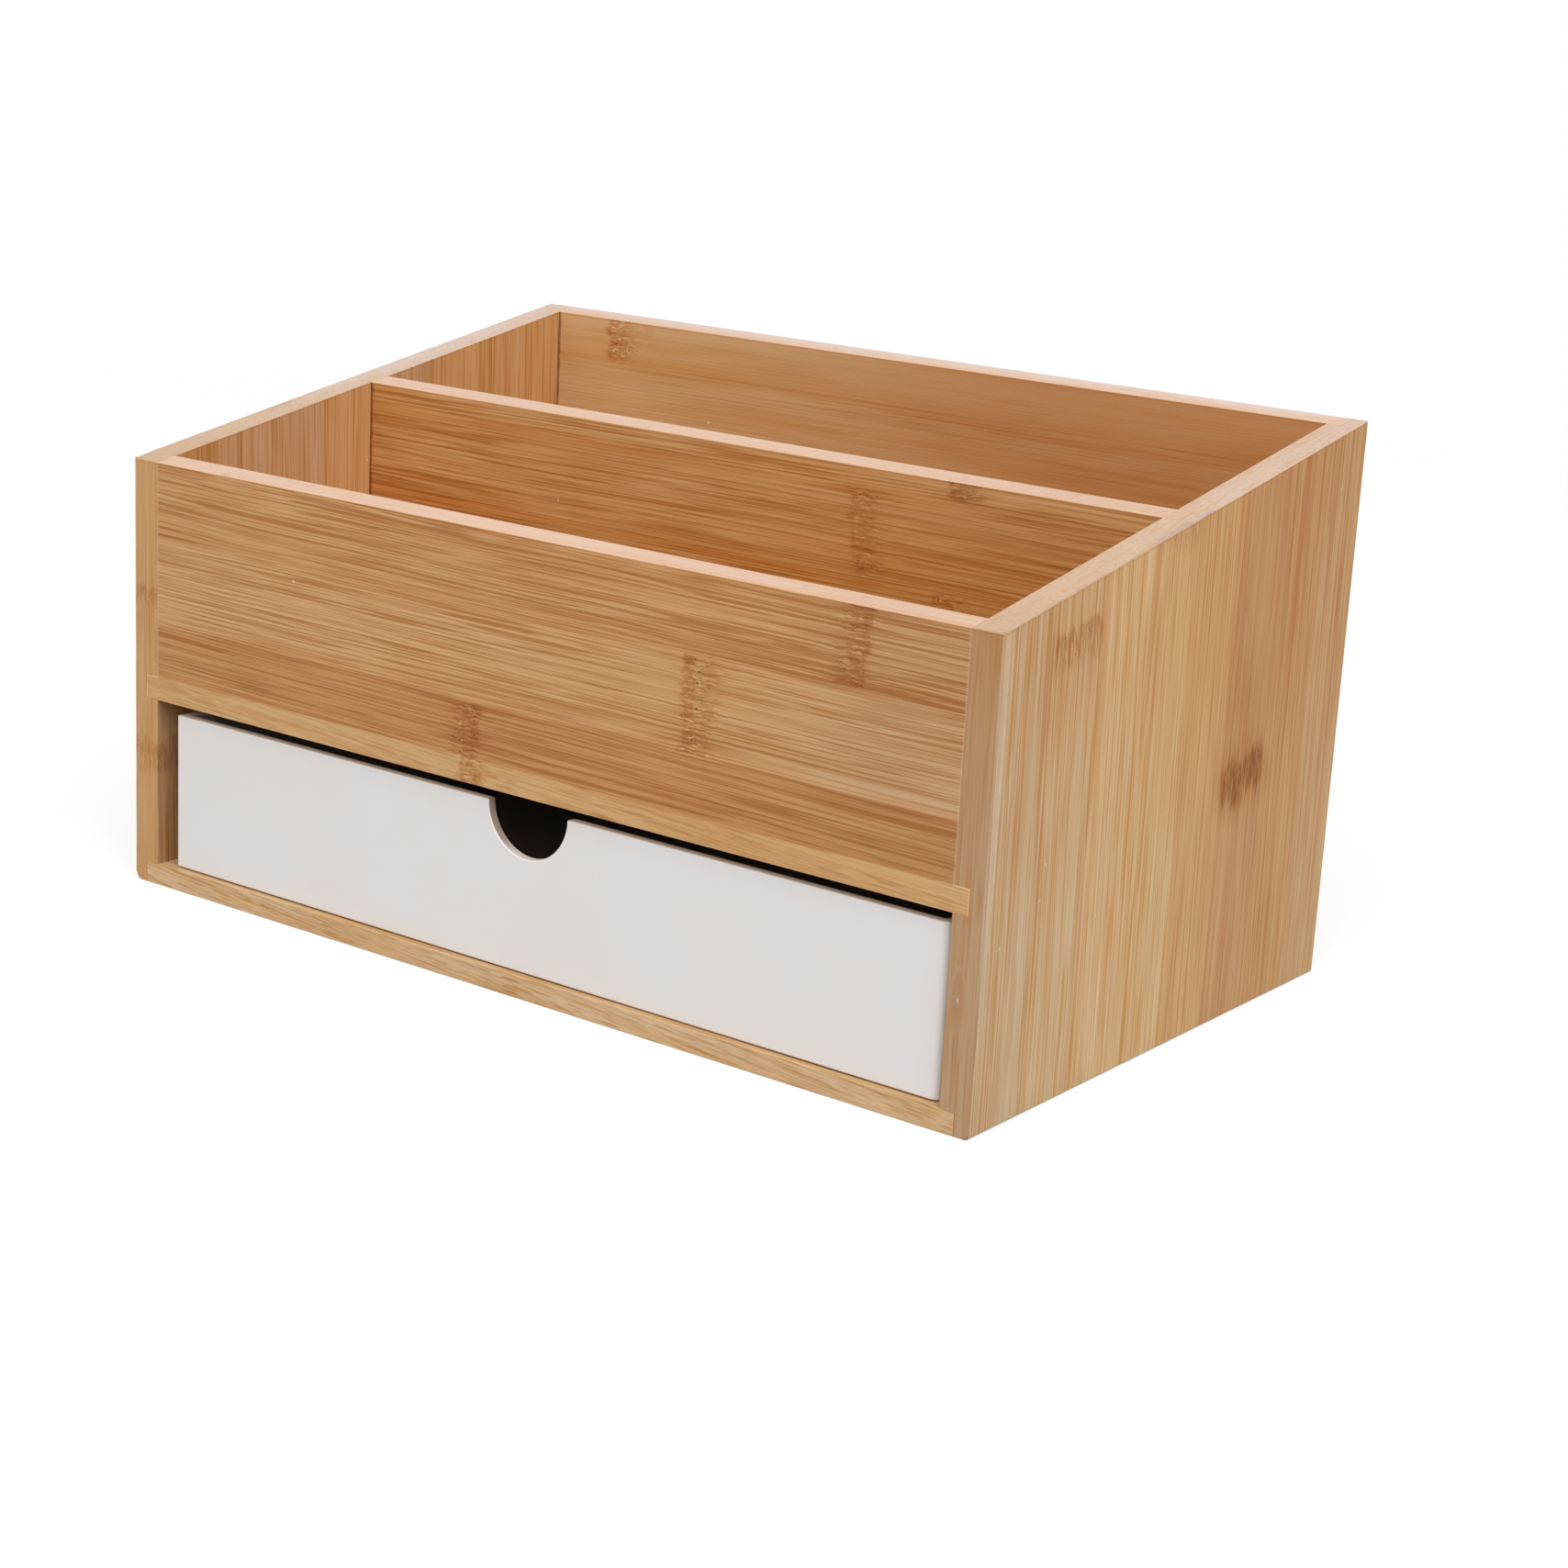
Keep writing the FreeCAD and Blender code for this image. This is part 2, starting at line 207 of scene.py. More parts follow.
class Finish:
    """A node tree, of a material or the world, that is built up one node at a time."""

    def __init__(self, owner):
        owner.use_nodes = True
        self.owner = owner
        self.tree = owner.node_tree
        self.tree.nodes.clear()

    def node(self, kind, settings=None, sockets=None, out=0):
        """Adds a node: its settings first, then its sockets' values or links. Gives back an output."""
        made = self.tree.nodes.new(kind)
        for name, value in (settings or {}).items():
            setattr(made, name, value)
        for name, value in (sockets or {}).items():
            if isinstance(value, Amount):
                self.tree.links.new(value.socket, made.inputs[name])
            else:
                made.inputs[name].default_value = value
        return Amount(self, made.outputs[out]) if made.outputs else None

    def beside(self, amount, name):
        """Another output of the node that an amount comes from."""
        return Amount(self, amount.socket.node.outputs[name])

    def maths(self, operation, *values):
        return self.node("ShaderNodeMath", {"operation": operation}, dict(enumerate(values)))

    def clamped(self, value):
        return self.node("ShaderNodeClamp", None, {"Value": value})

    def greater(self, first, second):
        return self.maths("MAXIMUM", first, second)

    def smaller(self, first, second):
        return self.maths("MINIMUM", first, second)

    def rise(self, value, low, high):
        """0 below low and 1 above high, with a smooth rise between. With low above high it falls instead."""
        sockets = {"Value": value, "From Min": low, "From Max": high}
        return self.node("ShaderNodeMapRange", {"interpolation_type": "SMOOTHSTEP"}, sockets)

    def mix(self, factor, first, second):
        """A colour from first, where factor is 0, to second, where it is 1."""
        return self.blend("MIX", factor, first, second)

    def shade(self, factor, first, second):
        """The colour first where factor is 0, and first times second where it is 1."""
        return self.blend("MULTIPLY", factor, first, second)

    def blend(self, kind, factor, first, second):
        settings = {"data_type": "RGBA", "blend_type": kind}
        sockets = {"Factor": factor, MIX_COLOURS[0]: first, MIX_COLOURS[1]: second}
        return self.node("ShaderNodeMix", settings, sockets, MIX_COLOUR_OUT)

    def between(self, factor, first, second):
        """A number from first, where factor is 0, to second, where it is 1."""
        sockets = {"Factor": factor, MIX_NUMBERS[0]: first, MIX_NUMBERS[1]: second}
        return self.node("ShaderNodeMix", {"data_type": "FLOAT"}, sockets)

    def point(self, x, y, z):
        return self.node("ShaderNodeCombineXYZ", None, {"X": x, "Y": y, "Z": z})

    def parts_of(self, vector):
        first = self.node("ShaderNodeSeparateXYZ", None, {"Vector": vector})
        return [self.beside(first, name) for name in "XYZ"]

    def scaled(self, vector, factor):
        sockets = {SCALE_VECTOR: vector, SCALE_BY: factor}
        return self.node("ShaderNodeVectorMath", {"operation": "SCALE"}, sockets)

    def noise(self, place, detail=2.0, roughness=0.5):
        sockets = {"Vector": place, "Scale": 1.0, "Detail": detail, "Roughness": roughness}
        return self.node("ShaderNodeTexNoise", None, sockets)

    def cells(self, place, dimensions, randomness):
        """How far a point is from its cell's seed, and a random number that belongs to the cell."""
        settings = {"feature": "F1", "voronoi_dimensions": dimensions}
        sockets = {"Vector": place, "Scale": 1.0, "Randomness": randomness}
        away = self.node("ShaderNodeTexVoronoi", settings, sockets)
        return away, self.parts_of(self.beside(away, "Color"))[0]

    def millimetres(self):
        """Where a point is on the piece, in millimetres of the shared frame."""
        return self.scaled(self.node("ShaderNodeTexCoord", None, None, "Object"), 1 / MM)

    def principled(self, colour, roughness, height, strength, ior):
        """Ends the tree with the usual surface shader, whose relief follows height."""
        relief = {"Height": height, "Distance": RELIEF, "Strength": strength}
        bump = self.node("ShaderNodeBump", None, relief)
        sockets = {"Base Color": colour, "Roughness": roughness, "Normal": bump, "IOR": ior}
        surface = self.node("ShaderNodeBsdfPrincipled", None, sockets)
        self.node("ShaderNodeOutputMaterial", None, {"Surface": surface})
        return self.owner


def paint(red, green, blue):
    """A colour written in the everyday 0 to 255 scale, as the linear values that shaders take."""

    def linear(value):
        share = value / 255
        return share / 12.92 if share <= 0.04045 else ((share + 0.055) / 1.055) ** 2.4

    return (linear(red), linear(green), linear(blue), 1.0)


# ------------------------------------------------------------------ bamboo

HONEY = paint(201, 155, 103)
CLAY = paint(188, 134, 73)
RUST = paint(200, 145, 89)
RUST_TOP = paint(203, 153, 99)
UMBER = paint(196, 146, 91)
FAWN = paint(207, 164, 124)
BLOND = paint(213, 164, 113)
COPPER = paint(190, 135, 86)
WHEAT = paint(203, 160, 107)
AMBER = paint(200, 153, 99)
BISCUIT = paint(208, 173, 131)
SIDE_TONES = (
    paint(204, 165, 116),
    paint(208, 166, 111),
    paint(215, 172, 114),
    paint(213, 169, 105),
    paint(206, 154, 83),
    paint(195, 137, 65),
    paint(198, 142, 67),
    paint(199, 149, 83),
)
# the rims' colours: sanded wood made paler, partly a painted sheen where the varnish catches the light
SANDED_AND_SHEEN = paint(213, 175, 146)
SANDED_PINK_AND_SHEEN = paint(212, 188, 176)
SANDED_END_AND_SHEEN = paint(197, 163, 131)
SANDED_END_PINK_AND_SHEEN = paint(206, 181, 166)
SPECK = paint(240, 232, 218)
PORE = paint(108, 50, 10)
# pale scuffs and a painted highlight down the right side's rounded front corner
SCUFF_AND_HIGHLIGHT = paint(222, 201, 180)
# bare wood and a painted highlight on top of the shelf's ends
WORN_END_AND_HIGHLIGHT = paint(224, 183, 132)

# These multiply the colour of the wood around them.
DARK_FIBRE = (0.66, 0.47, 0.20, 1)
SOFT_FIBRE = (0.80, 0.58, 0.25, 1)
LIGHT_FIBRE = (1.10, 1.20, 1.38, 1)
ORANGE_TINGE = (0.94, 0.80, 0.56, 1)
COOL_TINGE = (1.02, 1.06, 1.12, 1)
NODE_BROWN = (0.82, 0.60, 0.35, 1)
NODE_PALE = (1.15, 1.25, 1.42, 1)
STAIN = (0.58, 0.47, 0.37, 1)
SMUDGE = (0.80, 0.74, 0.84, 1)
# painted shadow in the gaps where boards enter the sides
GAP_SHADOW = (0.34, 0.25, 0.18, 1)
OFF_TO_THE_RIGHT = (0.93, 0.91, 0.87, 1)
NEAR_THE_FRONT = (0.94, 0.93, 0.90, 1)
# painted shade on a side's inner face in the drawer's bay, beside the drawer and under the shelf
BAY_SHADE = (0.66, 0.70, 0.90, 1)

SIDES = ("left_side_panel", "right_side_panel")
RIM_BOARDS = ("front_panel", "divider_panel", "back_panel") + SIDES

# The boards that run from side to side, and how strongly a pale line shows at their ends: bare wood and a
# painted highlight.
END_WEAR_AND_HIGHLIGHT = {
    "front_panel": 0.35,
    "divider_panel": 0.5,
    "back_panel": 0.5,
    "shelf_panel": 0.75,
    "bottom_panel": 0.15,
}

# What a strip's pattern is shifted by against the pattern of the strip before it.
STRIP_SEED = 31.7

# How wide a fibre is and how big a speck of dust is, in mm, and how much of the shelf's end is pale on top,
# with bare wood and a painted highlight.
FIBRE_WIDTH = 0.62
DUST_RADIUS = 0.42
LEDGE_LENGTH = 4.2

# Where the smudges on the outer edge of each side's rim start and end, in mm from front to back.
RIM_SMUDGES = {"left_side_panel": (-36.0, -24.0), "right_side_panel": (-19.0, 4.0)}

# The rim slopes up from the front panel's rear edge to the back of the sides.
rim_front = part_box("front_panel")[1]
rim_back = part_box("left_side_panel")[1]
RIM_SLOPE = (rim_back.z - rim_front.z) / (rim_back.y - rim_front.y)
RIM_AT_MIDDLE = (rim_back.z - RIM_SLOPE * rim_back.y) / MM
RIM_ROUGHNESS = 0.42


class Strip:
    """One of the strips that a board is glued from: where it starts across the board, in mm, and its tone.

    tilt is how far its fibres stray across the board for each mm along it, and contrast is how plainly they
    show.
    """

    def __init__(self, start, colour, tilt=0.0, contrast=1.0):
        self.start = start
        self.colour = colour
        self.tilt = tilt
        self.contrast = contrast


class Node:
    """A culm node across one strip: short wavy fibres, pores and brown patches behind a ragged brown start.

    along is where the node starts along the grain, low and high are the strip's edges, and depth is how far
    it goes, all in mm. behind is the way that it goes along the grain, -1 or 1. lean is how much its start
    slants, strength is how plainly it shows, and stain is how dark it is.
    """

    def __init__(self, along, low, high, behind=-1, depth=8.0, lean=0.0, strength=1.0, stain=0.0):
        self.along = along
        self.low = low
        self.high = high
        self.behind = behind
        self.depth = depth
        self.lean = lean
        self.strength = strength
        self.stain = stain


class Eye:
    """A small knot that the fibres run round: its place along the grain and through the board, in mm."""

    def __init__(self, along, through, length, width):
        self.along = along
        self.through = through
        self.length = length
        self.width = width


class Board:
    """How one board was cut from bamboo: the axes that its grain and its strips follow, and what shows.

    seed sets the board's pattern apart from the others'. fibre is the tone of its dark fibres, and contrast
    is how plainly they show. streak is how orange its broad streaks are. On the board's front edge, slant is
    how far the fibres stray through the board for each mm along it, and stride is their length there as a
    share of what it is elsewhere. tone_and_shade_drift is a change of tone along the grain: where it starts
    and ends, in mm, and what the wood is multiplied by from there on; on the divider and the back panel it
    is painted shade and light, darker towards the right side, which shades them. edge is what the board's
    front edge is multiplied by. dust is how far apart the white specks lie, in mm.
    """

    def __init__(
        self,
        grain,
        across,
        strips,
        nodes=(),
        seed=0.0,
        fibre=DARK_FIBRE,
        contrast=1.0,
        streak=0.5,
        slant=0.0,
        stride=1.0,
        tone_and_shade_drift=None,
        edge=None,
        eyes=(),
        dust=12.0,
    ):
        self.grain = grain
        self.across = across
        self.strips = strips
        self.nodes = nodes
        self.seed = seed
        self.fibre = fibre
        self.contrast = contrast
        self.streak = streak
        self.slant = slant
        self.stride = stride
        self.tone_and_shade_drift = tone_and_shade_drift
        self.edge = edge
        self.eyes = eyes
        self.dust = dust


def node_marks(f, board, u, v, ragged):
    """How strongly each kind of node mark shows: wavy core, halo around it, wash at its start, and stain."""
    core = halo = wash = stain = 0.0
    for spot in board.nodes:
        middle = (spot.low + spot.high) / 2
        slant = (v - middle) * (spot.lean * spot.behind)
        back = (u - spot.along) * spot.behind - slant + ragged
        band = f.rise(v, spot.low - 0.6, spot.low + 1.6) * f.rise(v, spot.high + 0.6, spot.high - 1.6)
        band = band * spot.strength
        core = f.rise(back, -1.2, 0.8) * f.rise(back, spot.depth * 1.3, spot.depth * 0.6) * band + core
        halo = f.rise(back, -9.0, 0.0) * f.rise(back, spot.depth * 3.0, spot.depth * 0.8) * band + halo
        wash = f.rise(back, -1.0, 0.6) * f.rise(back, 4.4, 1.2) * band + wash
        if spot.stain:
            width = (spot.high - spot.low) / 2
            across = (v - middle) * (1.0 / width)
            along = (back + ragged * 0.8 - spot.depth * 0.5) * (1.6 / spot.depth)
            away = along * along + across * across * across * across * 0.5
            lens = f.rise(away, 1.2, 0.0) * 0.8 + f.rise(away, 3.6, 0.4) * 0.4
            trail = f.rise(back, 4.0, -6.0) * f.rise(back, -32.0, -14.0) * f.rise(across * across, 1.1, 0.4)
            stain = (lens + trail * 0.25) * spot.stain + stain
    return core, halo, wash, stain


def fibre_lines(f, u, v, d, own, length, pitch, width):
    """Straight thin lines along the grain that fade in and out, about a pitch apart, in mm."""
    rows = f.noise(f.point(u / 240, v / pitch, d / pitch + own), 0.0)
    fade = f.noise(f.point(u / length, v / (pitch * 0.8) + 3.3, d / pitch + own), 0.0)
    return f.rise(abs(rows - 0.5), width, width * 0.25) * f.rise(fade, 0.36, 0.60)


def pores(f, u, v, own):
    """Cut vessels in a node: a mask of their dark holes, and one of the pale wood around each."""
    away, drawn = f.cells(f.point(u / 4.2 + own, v / 3.0, 0.0), "2D", 0.9)
    near = away - drawn * 0.04
    picked = drawn > 0.66
    return f.rise(near, 0.080, 0.030) * picked, f.rise(near, 0.28, 0.08) * picked


def strip_tones(f, board, v):
    """The strips' colour, a number of each strip's own, its tilt and contrast, and the seams and margins."""
    last = board.strips[0]
    colour = last.colour
    own = board.seed
    tilt = last.tilt
    strong = last.contrast * board.contrast
    seam = margin = 0.0
    for strip in board.strips[1:]:
        beyond = v > strip.start
        colour = f.mix(beyond, colour, strip.colour)
        own = beyond * STRIP_SEED + own
        if strip.tilt != last.tilt:
            tilt = beyond * (strip.tilt - last.tilt) + tilt
        if strip.contrast != last.contrast:
            strong = beyond * ((strip.contrast - last.contrast) * board.contrast) + strong
        seam = f.rise(abs(v - strip.start), 0.22, 0.06) + seam
        margin = f.rise(abs(v - strip.start), 4.5, 0.2) + margin
        last = strip
    return colour, own, tilt, strong, seam, margin


def node_wood(f, board, u, v, bent, own, marks, colour, roughness, height):
    """Inside the nodes the fibres are short and broken, with brown patches and open vessels."""
    core, halo, wash, stain = marks
    long, thick = (5.0, 0.34) if board.grain == "z" else (2.8, 0.42)
    short = f.noise(f.point(u / long, bent / thick, own), 1.0)
    patch = f.noise(f.point(u / 5.0 + 8.1, v / 1.2, own), 1.0)
    strokes = f.rise(abs(short - 0.5), 0.11, 0.02) * 0.75 + f.rise(short, 0.56, 0.70) * 0.75
    hole, ring = pores(f, u, v, own)
    colour = f.shade(f.clamped(core * f.rise(short, 0.46, 0.30)), colour, NODE_PALE)
    colour = f.shade(f.clamped(core * strokes), colour, DARK_FIBRE)
    brown = f.rise(patch, 0.54, 0.70) * (core * 0.7 + halo * 0.3) + halo * 0.06
    brown = brown + wash * (f.rise(patch, 0.36, 0.60) * 0.32 + 0.08)
    colour = f.shade(f.clamped(brown), colour, NODE_BROWN)
    colour = f.shade(f.clamped(core * ring), colour, NODE_PALE)
    colour = f.mix(f.clamped(core * hole * 0.85), colour, PORE)
    if any(spot.stain for spot in board.nodes):
        speckle = f.noise(f.point(u / 2.2, v / 0.3, own), 1.0)
        dashes = f.rise(speckle, 0.42, 0.62) * 0.4 + f.rise(patch, 0.32, 0.62) * 0.5
        colour = f.shade(f.clamped(stain * (dashes + 0.15)), colour, STAIN)
        roughness = roughness + f.clamped(stain) * 0.3
    return colour, roughness + core * 0.12, height + core * short * 0.8 - core * hole * 0.6


def side_rim(f, node, x, y, outward, blotch, own):
    """The sanded end grain on top of a side panel, pinker towards its outer face, its paleness partly a
    painted sheen.
    """
    pink = f.rise(outward + (blotch - 0.5) * 1.4, 0.1, 0.9) * 0.5 + 0.75
    pink = pink * f.rise(y, -50.0, 20.0) * (0.95 if node == "left_side_panel" else 0.35)
    rim = f.mix(f.clamped(pink), SANDED_END_AND_SHEEN, SANDED_END_PINK_AND_SHEEN)
    rim = f.shade(f.rise(y, -50.0, -75.0), rim, NEAR_THE_FRONT)
    streaks = f.noise(f.point(x / 1.4, y / 13, own), 2.0, 0.6)
    rim = f.shade(f.rise(streaks, 0.50, 0.68) * 0.6, rim, ORANGE_TINGE)
    return f.shade(f.rise(streaks, 0.46, 0.30) * 0.5, rim, COOL_TINGE)


def cross_rim(f, node, x, y, inner, blotch):
    """The sanded edge on top of a board that runs from side to side, paler partly as a painted sheen, and
    the ends of its tongues.
    """
    low, high = (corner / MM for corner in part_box(node))
    at_back = node == "back_panel"
    backward = (y - low.y) * (1 / (high.y - low.y))
    pink = f.rise(backward + (blotch - 0.5) * 1.2, 0.1, 0.9)
    rim = f.mix(pink if at_back else pink * 0.15, SANDED_AND_SHEEN, SANDED_PINK_AND_SHEEN)
    if not at_back:
        rim = f.shade(f.rise(x, 10.0, 110.0), rim, OFF_TO_THE_RIGHT)
    if high.x <= inner:
        return rim
    plain = 0.25 if at_back else 0.75
    tongue = abs(x) > inner
    rim = f.mix(tongue * plain, rim, SANDED_END_AND_SHEEN)
    ends = f.smaller(abs(x - low.x), abs(x - high.x))
    flanks = f.smaller(abs(y - low.y), abs(y - high.y))
    outline = f.rise(f.smaller(ends, flanks), 0.45, 0.10) * tongue
    return f.shade(outline * (plain + 0.15), rim, ORANGE_TINGE)


def rim_wood(f, node, axes, own, colour, roughness):
    """The sanded rim, paler than the faces and partly a painted sheen, with a thin darker line just under
    it.
    """
    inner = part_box("right_side_panel")[0].x / MM
    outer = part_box("right_side_panel")[1].x / MM
    x, y, z = axes["x"], axes["y"], axes["z"]
    under = y * RIM_SLOPE + RIM_AT_MIDDLE - z
    top = f.rise(under, 0.16, 0.05)
    blotch = f.noise(f.point(x / 7, y / 4, own), 3.0, 0.65)
    if node in SIDES:
        outward = (abs(x) - inner) * (1 / (outer - inner))
        grit = f.noise(f.point(x / 0.9, y / 1.6, 0.0), 2.0, 0.7)
        rim = side_rim(f, node, x, y, outward, blotch, own)
    else:
        grit = f.noise(f.point(x / 26, y / 0.34, own), 1.0)
        rim = cross_rim(f, node, x, y, inner, blotch)
    rim = f.shade(f.rise(grit, 0.48, 0.66) * 0.55, rim, ORANGE_TINGE)
    rim = f.shade(f.rise(grit, 0.46, 0.30) * 0.6, rim, LIGHT_FIBRE)
    dashes = f.noise(f.point(x / 3 + 5.7, y / 4, own), 2.0, 0.65)
    rim = f.shade(f.rise(dashes, 0.62, 0.72) * 0.6, rim, SMUDGE)
    if node in SIDES:
        start, end = RIM_SMUDGES[node]
        stretch = f.rise(y, start - 3.0, start) * f.rise(y, end + 3.0, end)
        smudge = f.rise(outward, 0.62, 0.86) * stretch * f.rise(dashes, 0.34, 0.54)
        rim = f.shade(smudge * 0.8, rim, SMUDGE)
    # the rim's pale colour is partly a painted sheen
    colour = f.mix(top, colour, rim)
    # a thin darker line just under the rim
    under_rim_line = f.rise(under, 0.16, 0.24) * f.rise(under, 0.62, 0.40)
    colour = f.shade(under_rim_line * 0.45, colour, SOFT_FIBRE)
    return colour, f.between(top, roughness, RIM_ROUGHNESS)


def node_push(f, board, u, aslant, own, marks):
    """How far, in mm, the culm nodes push the fibres aside."""
    core, halo = marks[:2]
    swirl = f.noise(f.point(u / 3.4, aslant / 2.2, own), 1.0) - 0.5
    curl = f.noise(f.point(u / 1.5, aslant / 1.1, own), 0.0) - 0.5
    calm = 0.45 if board.grain == "z" else 1.0
    return (swirl * (core * 1.1 + halo * 0.5) + curl * (core * 0.5)) * calm


def around_eyes(f, board, u, d, colour):
    """Darkens the wood at each eye, and gives back the depth through the board that its fibres follow."""
    for eye in board.eyes:
        along = (u - eye.along) * (1 / eye.length)
        aside = (d - eye.through) * (1 / eye.width)
        away = f.maths("SQRT", along * along + aside * aside)
        near = f.rise(away, 1.6, 0.5)
        colour = f.shade(near * 0.45, colour, NODE_BROWN)
        colour = f.mix(f.rise(away, 0.13, 0.06), colour, SPECK)
        d = d + (away * eye.width - d) * near
    return colour, d


def broad_tones(f, board, u, v, d, bent, own, crowd, margin, colour):
    """Wide clouds and streaks, and the darker margins of the strips."""
    cloud = f.noise(f.point(u / 90, v / 13, own + 3.1), 2.0)
    band = f.noise(f.point(u / 110, bent / 2.4, d / 2.4 + own), 1.0)
    colour = f.shade(f.rise(cloud, 0.46, 0.68) * board.streak, colour, ORANGE_TINGE)
    colour = f.shade(f.rise(cloud, 0.50, 0.30) * 0.6, colour, COOL_TINGE)
    colour = f.shade(f.rise(band, 0.48, 0.72) * board.streak, colour, ORANGE_TINGE)
    return f.shade(f.clamped(margin * (crowd * 1.2 - 0.2)), colour, ORANGE_TINGE)


def fibres(f, board, run, bent, d, own, crowd, strong, colour):
    """Dark and pale fibres. Gives back the colour, how dark the fibres are, and the grain under them."""
    bold = fibre_lines(f, run, bent, d, own, 52, FIBRE_WIDTH * 2.2, 0.085)
    thin = fibre_lines(f, run, bent, d, own + 5.3, 30, FIBRE_WIDTH * 1.2, 0.13)
    hair = fibre_lines(f, run, bent, d, own + 7.7, 18, FIBRE_WIDTH * 0.80, 0.18)
    pale = fibre_lines(f, run, bent, d, own + 11.9, 36, FIBRE_WIDTH * 1.0, 0.14)
    rows = f.point(run / 60, bent / (FIBRE_WIDTH * 0.8), d / FIBRE_WIDTH + own)
    grain = f.noise(rows, 2.0, 0.6)
    some = f.rise(crowd, 0.30, 0.62) * 0.35 + 0.58
    light = pale * 0.8 + f.rise(grain, 0.48, 0.28) * 0.4
    dark = (bold * 0.32 + thin * 0.95 + hair * 0.75 + f.rise(grain, 0.54, 0.76) * 0.15) * some
    colour = f.shade(f.clamped(light * strong), colour, LIGHT_FIBRE)
    colour = f.shade(f.clamped(dark * strong), colour, board.fibre)
    return colour, dark, grain


def dust_specks(f, board, u, v, d, colour):
    """White specks of dust under the lacquer."""
    place = f.point(u / board.dust, v / board.dust, d / board.dust + board.seed)
    away, drawn = f.cells(place, "3D", 1.0)
    radius = DUST_RADIUS / board.dust
    return f.mix(f.rise(away, radius, radius * 0.5) * (drawn > 0.5) * 0.6, colour, SPECK)


def side_wear(f, node, board, axes, own, grain, colour):
    """Painted shade, broken by smudges, on a side's inner face in the drawer's bay, and the wear along its
    outer front corner, which on the right side also holds a painted highlight.
    """
    x, y, z = axes["x"], axes["y"], axes["z"]
    low, high = (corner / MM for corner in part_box(node))
    at_left = node == "left_side_panel"
    inner, outer = (high.x, low.x) if at_left else (low.x, high.x)
    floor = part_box("bottom_panel")[1].z / MM
    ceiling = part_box("shelf_panel")[0].z / MM
    # painted shade on the inner face between the bottom and the shelf, beside the drawer, broken by smudges
    bay = f.rise(abs(x - inner), 0.3, 0.1) * (z > floor) * (z < ceiling)
    smudges_in_shade = f.rise(f.noise(f.point(z / 14, y / 2.4, own), 3.0, 0.6), 0.42, 0.66)
    colour = f.shade(bay * (smudges_in_shade * 0.35 + 0.65), colour, BAY_SHADE)
    scuff = f.noise(f.point(z / 9, 0.0, board.seed), 2.0)
    if at_left:
        corner = f.greater(abs(x - outer), abs(y - low.y)) + (grain - 0.5) * 0.4
        worn = f.rise(corner, 0.50, 0.25) * f.rise(scuff, 0.42, 0.6)
        return f.mix(worn * 0.5, colour, SANDED_PINK_AND_SHEEN)
    # on the right side's rounded front corner: pale scuffs and a painted highlight where the lacquer catches
    # the light
    rubbed_and_lit = f.rise(abs(x - outer), 0.6, 0.3)
    aside = y - low.y + (scuff - 0.5) * 0.8
    broken = f.noise(f.point(z / 5, 0.0, board.seed), 2.0, 0.7)
    line = f.rise(abs(aside - 2.2), 0.4, 0.1) * f.rise(broken, 0.46, 0.62)
    scuff_and_highlight = f.rise(aside, 3.6, 1.6) * 0.30 + line * 0.45
    return f.mix(rubbed_and_lit * scuff_and_highlight * f.rise(z, 22.0, 50.0), colour, SCUFF_AND_HIGHLIGHT)


def housing_gap_shadows(f, axes, own, shown, colour):
    """A dark joint line with painted shadow in its ragged gap, where a board enters the sides."""
    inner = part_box("right_side_panel")[0].x / MM
    torn = f.noise(f.point(axes["z"] / 2.6, 0.0, own), 2.0) - 0.5
    shadowed_gap = f.rise(inner - abs(axes["x"]) + torn * 1.1, 1.15, 0.45)
    return f.shade(shadowed_gap * 0.85 * shown, colour, GAP_SHADOW)


def worn_and_lit_ends(f, node, axes, colour):
    """Bare wood and a painted highlight in a thin line at the ends of a board that runs from side to side,
    and on top of the shelf's ends.
    """
    x, z = axes["x"], axes["z"]
    low, high = (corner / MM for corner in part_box(node))
    worn = f.rise(f.smaller(abs(x - low.x), abs(x - high.x)), 0.42, 0.16) * END_WEAR_AND_HIGHLIGHT[node]
    if node != "shelf_panel":
        return f.mix(worn, colour, SANDED_AND_SHEEN)
    ledge = f.rise(abs(z - high.z), 0.40, 0.16) * (abs(x) > high.x - LEDGE_LENGTH)
    return f.mix(f.clamped(worn + ledge * 0.8), colour, WORN_END_AND_HIGHLIGHT)


